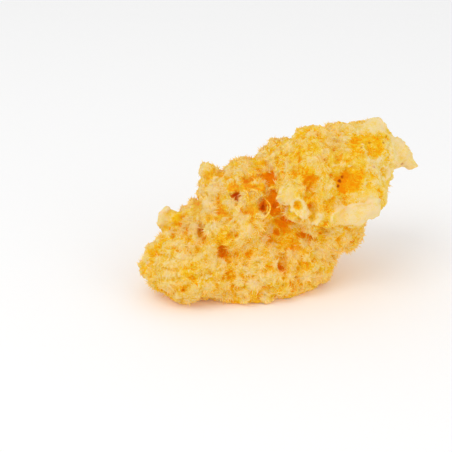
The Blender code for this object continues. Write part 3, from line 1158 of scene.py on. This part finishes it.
@dataclass
class FibreCoat:
    """Short spongin fibres that spread from the middle of each clump.

    The density spans thin the coat on smooth skin, in pores, on pale ridges, in low places and where light
    glows. In ragged places the fibres are longer and stand up more.
    """

    name: str
    kind: FibreKind
    seed: int
    stray: float = 0.24
    crowding: float = 1.4
    root_share: float = 0.12
    bare_base_mm: float = 1.2
    smallest: tuple[float, float, float] = (0.7, 0.7, 0.5)
    largest: tuple[float, float, float] = (1.3, 1.3, 1.3)
    size_seed: int = 50
    shade_seed: int = 90
    density: Spans = (
        ("smooth_skin", (0.1, 0.8, 1.0, 0.3)),
        ("shade", (0.35, 0.9, 1.0, 0.1)),
        ("pale", (0.2, 0.8, 1.0, 0.3)),
        ("relief", (0.44, 0.62, 0.05, 1.0)),
        ("ragged", (-0.2, 0.9, 0.05, 0.9)),
        ("glow", (0.35, 0.9, 1.0, 0.05)),
    )
    lift_and_length: Spans = (("ragged", (0.0, 1.0, 0.3, 0.9)), ("ragged", (0.0, 1.0, 0.6, 1.1)))

    @property
    def inputs(self) -> dict[str, float]:
        """The named inputs of the coat's tree, with sizes in metres."""
        spacing, length, radius, stand = self.kind.value
        return {
            "Spacing": spacing * MM,
            "Length": length * MM,
            "Root radius": radius * MM,
            "Stand": stand,
            "Seed": self.seed,
        }

    def fibre(self, tree: NodeTree, given: NodeOutputs) -> NodeSocket:
        """Adds the nodes of one fibre: a thin cone that knows how near its tip each point is.

        Args:
            tree: The coat's tree.
            given: The sockets of the tree's inputs.

        Returns:
            The fibre, its root a little below the skin.
        """
        add = partial(add_node, tree)
        above = add(SEPARATE, (add("GeometryNodeInputPosition"),), 2)
        root = given["Root radius"]
        sizes = {"Vertices": 3, "Radius Top": 0.0, "Radius Bottom": root, "Depth": given["Length"]}
        cone = add("GeometryNodeMeshCone", sizes, fill_type="NGON")
        share = add(MATH, (above, given["Length"]), operation="DIVIDE")
        marked = add(STORE, {"Geometry": cone, "Name": "tip", "Value": share}, **ON_POINTS)
        sunk = add(COMBINE, {2: product(tree, (given["Length"], -self.root_share))})
        return add("GeometryNodeSetPosition", {"Geometry": marked, "Offset": sunk})

    def tree(self, finish: Material) -> NodeTree:
        """Builds the tree that scatters the fibres over the skin.

        Args:
            finish: The fibres' material.

        Returns:
            The geometry node tree.
        """
        tree, given = new_tree("fibres " + self.name, self.inputs)
        add = partial(add_node, tree)
        place = add("GeometryNodeInputPosition")
        above = add(SEPARATE, (place,), 2)
        off_base = add(MATH, (above, self.bare_base_mm * MM), operation="GREATER_THAN")
        points = add(
            "GeometryNodeDistributePointsOnFaces",
            {
                "Mesh": given["Geometry"],
                "Distance Min": given["Spacing"],
                "Density Max": self.crowding / self.inputs["Spacing"] ** 2,
                "Density Factor": product(tree, (off_base, *skin_shares(tree, self.density))),
                "Seed": given["Seed"],
            },
            distribute_method="POISSON",
        )
        seeds = [add(MATH, (given["Seed"], shift)) for shift in (self.shade_seed, self.size_seed)]
        own = add(RANDOM, {2: -0.5, 3: 0.5, "Seed": seeds[0]}, 1, data_type="FLOAT")
        marked = add(STORE, {"Geometry": points, "Name": "own", "Value": own}, **ON_POINTS)
        out = CLUMPS.nodes(tree, place)["out"]
        strays = {0: (-self.stray,) * 3, 1: (self.stray,) * 3, "Seed": given["Seed"]}
        stray = add(RANDOM, strays, data_type="FLOAT_VECTOR")
        lift, length = skin_shares(tree, self.lift_and_length)
        lift = product(tree, (lift, given["Stand"]))
        upward = add(VECTOR, {0: points.node.outputs["Normal"], "Scale": lift}, operation="SCALE")
        aim = add(VECTOR, (out, stray), operation="ADD")
        aim = add(VECTOR, (aim, upward), operation="ADD")
        rotation = add("FunctionNodeAlignRotationToVector", {"Vector": aim}, axis="Z")
        sizes = {0: self.smallest, 1: self.largest, "Seed": seeds[1]}
        size = add(RANDOM, sizes, data_type="FLOAT_VECTOR")
        longer = add(COMBINE, (1.0, 1.0, length))
        size = add(VECTOR, (size, longer), operation="MULTIPLY")
        plants = {"Points": marked, "Instance": self.fibre(tree, given), "Rotation": rotation, "Scale": size}
        planted = add("GeometryNodeInstanceOnPoints", plants)
        real = add("GeometryNodeRealizeInstances", (planted,))
        dressed = add("GeometryNodeSetMaterial", {"Geometry": real, "Material": finish})
        add("NodeGroupOutput", (dressed,))
        return tree

    def build(self, body: Object, finish: Material) -> Object:
        """Grows the coat on the finished body, in the fibres' own finish."""
        mesh = run_tree(self.tree(finish), body.data, self.inputs, self.name)
        return new_object(self.name, mesh)


COATS = (
    FibreCoat("fibre_felt_1", FibreKind.FELT, 1),
    FibreCoat("fibre_felt_2", FibreKind.FELT, 2),
    FibreCoat("fibre_brush_1", FibreKind.BRUSH, 3),
    FibreCoat("fibre_brush_2", FibreKind.BRUSH, 5),
)


@dataclass
class LooseStrands:
    """Pale strands of spongin that stand free of the skin, mostly beside and across the holes of the front.

    Each point of a strand is a pixel and how far the strand stands off the skin there, in millimetres. Where
    it crosses a hole, it sags no more than sag_mm behind its nearest point. Its ends are the thinnest.
    """

    name: str = "loose_strands"
    radius_mm: float = 0.26
    end_share: float = 0.6
    sag_mm: float = 1.0
    sides: int = 6
    steps: int = 4
    strands: tuple[tuple[tuple[float, float, float], ...], ...] = (
        (
            (266.5, 200.5, 0.0), (269, 203.5, 0.6), (270, 207.5, 0.9), (269, 212, 0.9), (265.5, 216.5, 0.6),
            (260, 217.5, 0.4), (256, 217.5, 0.0),
        ),
        ((243, 190, 0.3), (247, 192.5, 0.7), (248, 197, 0.7), (249.5, 202, 0.0)),
        ((247.5, 194, 0.6), (244.5, 196.5, 0.5), (243, 199, 0.0)),
        ((249, 191.5, 0.0), (252.5, 189.8, 0.5), (256, 191, 0.5), (257.5, 194, 0.3), (256, 197, 0.0)),
        ((268, 190, 0.0), (271, 187.5, 0.6), (275, 187.5, 0.5), (278, 189, 0.0)),
        ((275, 200, 0.0), (277, 197.5, 0.6), (279, 196.5, 0.6), (281.5, 196.5, 0.0)),
        ((276, 208, 0.0), (279.5, 206.5, 0.6), (282.5, 206.5, 0.5), (285, 208, 0.0)),
    )

    def smooth_line(self, corners: list[Vector]) -> list[Vector]:
        """Runs a smooth line through some points, and gives it a few steps between each two."""
        line = []
        ends = [2 * corners[0] - corners[1], *corners, 2 * corners[-1] - corners[-2]]
        for a, b, c, d in zip(ends, ends[1:], ends[2:], ends[3:]):
            for k in range(self.steps):
                t = k / self.steps
                bow = 2 * a - 5 * b + 4 * c - d
                twist = 3 * b - a - 3 * c + d
                line.append(0.5 * (2 * b + (c - a) * t + bow * t * t + twist * t**3))
        return [*line, corners[-1]]

    def tube(self, bm: BMesh, line: list[Vector]) -> None:
        """Adds a closed tube along a line.

        Args:
            bm: The mesh that gets the tube.
            line: The points that it runs through.
        """
        rings = []
        angles = [math.tau * j / self.sides for j in range(self.sides)]
        for k, point in enumerate(line):
            way = (line[min(k + 1, len(line) - 1)] - line[max(k - 1, 0)]).normalized()
            side = way.cross(VIEW.into).normalized()
            other = side.cross(way)
            swell = math.sin(math.pi * k / (len(line) - 1))
            radius = self.radius_mm * MM * (self.end_share + (1.0 - self.end_share) * swell)
            ways = [side * math.cos(angle) + other * math.sin(angle) for angle in angles]
            rings.append([bm.verts.new(point + out * radius) for out in ways])
        for first, second in zip(rings, rings[1:]):
            for j in range(self.sides):
                after = (j + 1) % self.sides
                bm.faces.new((first[j], first[after], second[after], second[j]))
        bm.faces.new(list(reversed(rings[0])))
        bm.faces.new(rings[-1])

    def build(self, body: Object, finish: Material) -> Object:
        """Hangs the strands on the body.

        Args:
            body: The finished sponge body.
            finish: The strands' material.

        Returns:
            The finished piece.
        """
        tree = skin_tree(body.data)
        bm = bmesh.new()
        for strand in self.strands:
            places = [(VIEW.hit(tree, (u, v)), lift) for u, v, lift in strand]
            places = [(place, lift) for place, lift in places if place is not None]
            near = min(VIEW.into.dot(place) for place, _ in places)
            corners = []
            for place, lift in places:
                deeper = max(0.0, VIEW.into.dot(place) - near - self.sag_mm * MM)
                corners.append(place - VIEW.into * (deeper + lift * MM))
            self.tube(bm, self.smooth_line(corners))
        bmesh.ops.recalc_face_normals(bm, faces=bm.faces)
        mesh = mesh_of(bm, self.name)
        mesh.shade_smooth()
        mesh.materials.append(finish)
        return new_object(self.name, mesh)


@dataclass(frozen=True)
class SoftLight:
    """A square soft light: its power, where it stands in metres, and its side in metres."""

    name: str
    watts: float
    place: tuple[float, float, float]
    side: float = 0.6

    def build(self) -> None:
        """Adds the light, turned to the sponge."""
        data = bpy.data.lights.new(self.name, "AREA")
        data.size = self.side
        data.energy = self.watts
        light = new_object(self.name, data)
        light.location = self.place
        light.rotation_euler = (-Vector(self.place)).to_track_quat("-Z", "Y").to_euler()


@dataclass
class Studio:
    """A plain pale floor, soft light from the upper left, and the photograph's camera."""

    floor_side: float = 4.0
    floor_drop_mm: float = 0.02
    floor_hex: str = "#FFFFFF"
    floor_roughness: float = 0.9
    floor_gloss: float = 0.1
    world_hex: str = "#FFFFFF"
    world_strength: float = 0.785
    lights: tuple[SoftLight, ...] = (
        SoftLight("key", 2.15, (-0.4, -0.45, 0.75)),
        SoftLight("fill", 0.95, (0.6, -0.6, 0.4)),
    )
    light_bounces: int = 16
    nearest: float = 0.01

    def camera(self) -> None:
        """Places the camera where the photograph was taken from."""
        data = bpy.data.cameras.new("camera")
        data.lens = VIEW.lens_mm
        data.sensor_width = VIEW.sensor_mm
        data.clip_start = self.nearest
        camera = new_object("camera", data)
        camera.location = VIEW.place
        camera.rotation_euler = (math.radians(90.0 - VIEW_ELEVATION_DEG), 0.0, 0.0)
        bpy.context.scene.camera = camera

    def floor(self) -> None:
        """Makes the floor of matt white paper, just under the cut base."""
        bm = bmesh.new()
        bmesh.ops.create_grid(bm, x_segments=1, y_segments=1, size=self.floor_side / 2)
        mesh = mesh_of(bm, "floor")
        material = bpy.data.materials.new("matt_paper")
        material.use_nodes = True
        shader = material.node_tree.nodes["Principled BSDF"]
        shader.inputs["Base Color"].default_value = linear(self.floor_hex)
        shader.inputs["Roughness"].default_value = self.floor_roughness
        shader.inputs["Specular IOR Level"].default_value = self.floor_gloss
        mesh.materials.append(material)
        floor = new_object("floor", mesh)
        floor.location.z = -self.floor_drop_mm * MM

    def world(self) -> None:
        """Gives the room an even pale light."""
        world = bpy.data.worlds.new("room")
        bpy.context.scene.world = world
        world.use_nodes = True
        sky = world.node_tree.nodes["Background"]
        sky.inputs["Color"].default_value = linear(self.world_hex)
        sky.inputs["Strength"].default_value = self.world_strength

    def build(self) -> None:
        """Sets up the camera, the floor and the light."""
        self.camera()
        self.floor()
        self.world()
        for light in self.lights:
            light.build()
        scene = bpy.context.scene
        scene.view_settings.view_transform = "Standard"
        scene.cycles.max_bounces = self.light_bounces
        scene.cycles.diffuse_bounces = self.light_bounces


def main() -> None:
    """Builds the sponge's pieces, then the studio."""
    logging.basicConfig(level=logging.INFO, format="%(message)s")
    body = SpongeBody().build(SKIN_FINISH.material())
    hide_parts(NODE)
    fibre_finish = FIBRE_FINISH.material()
    coats = [coat.build(body, fibre_finish) for coat in COATS]
    strands = LooseStrands().build(body, STRAND_FINISH.material())
    for piece in (body, *coats, strands):
        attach(piece, BODY)
        log.info("%s: %d triangles", piece.name, triangle_count(piece.data))
    Studio().build()


if __name__ == "__main__":
    main()
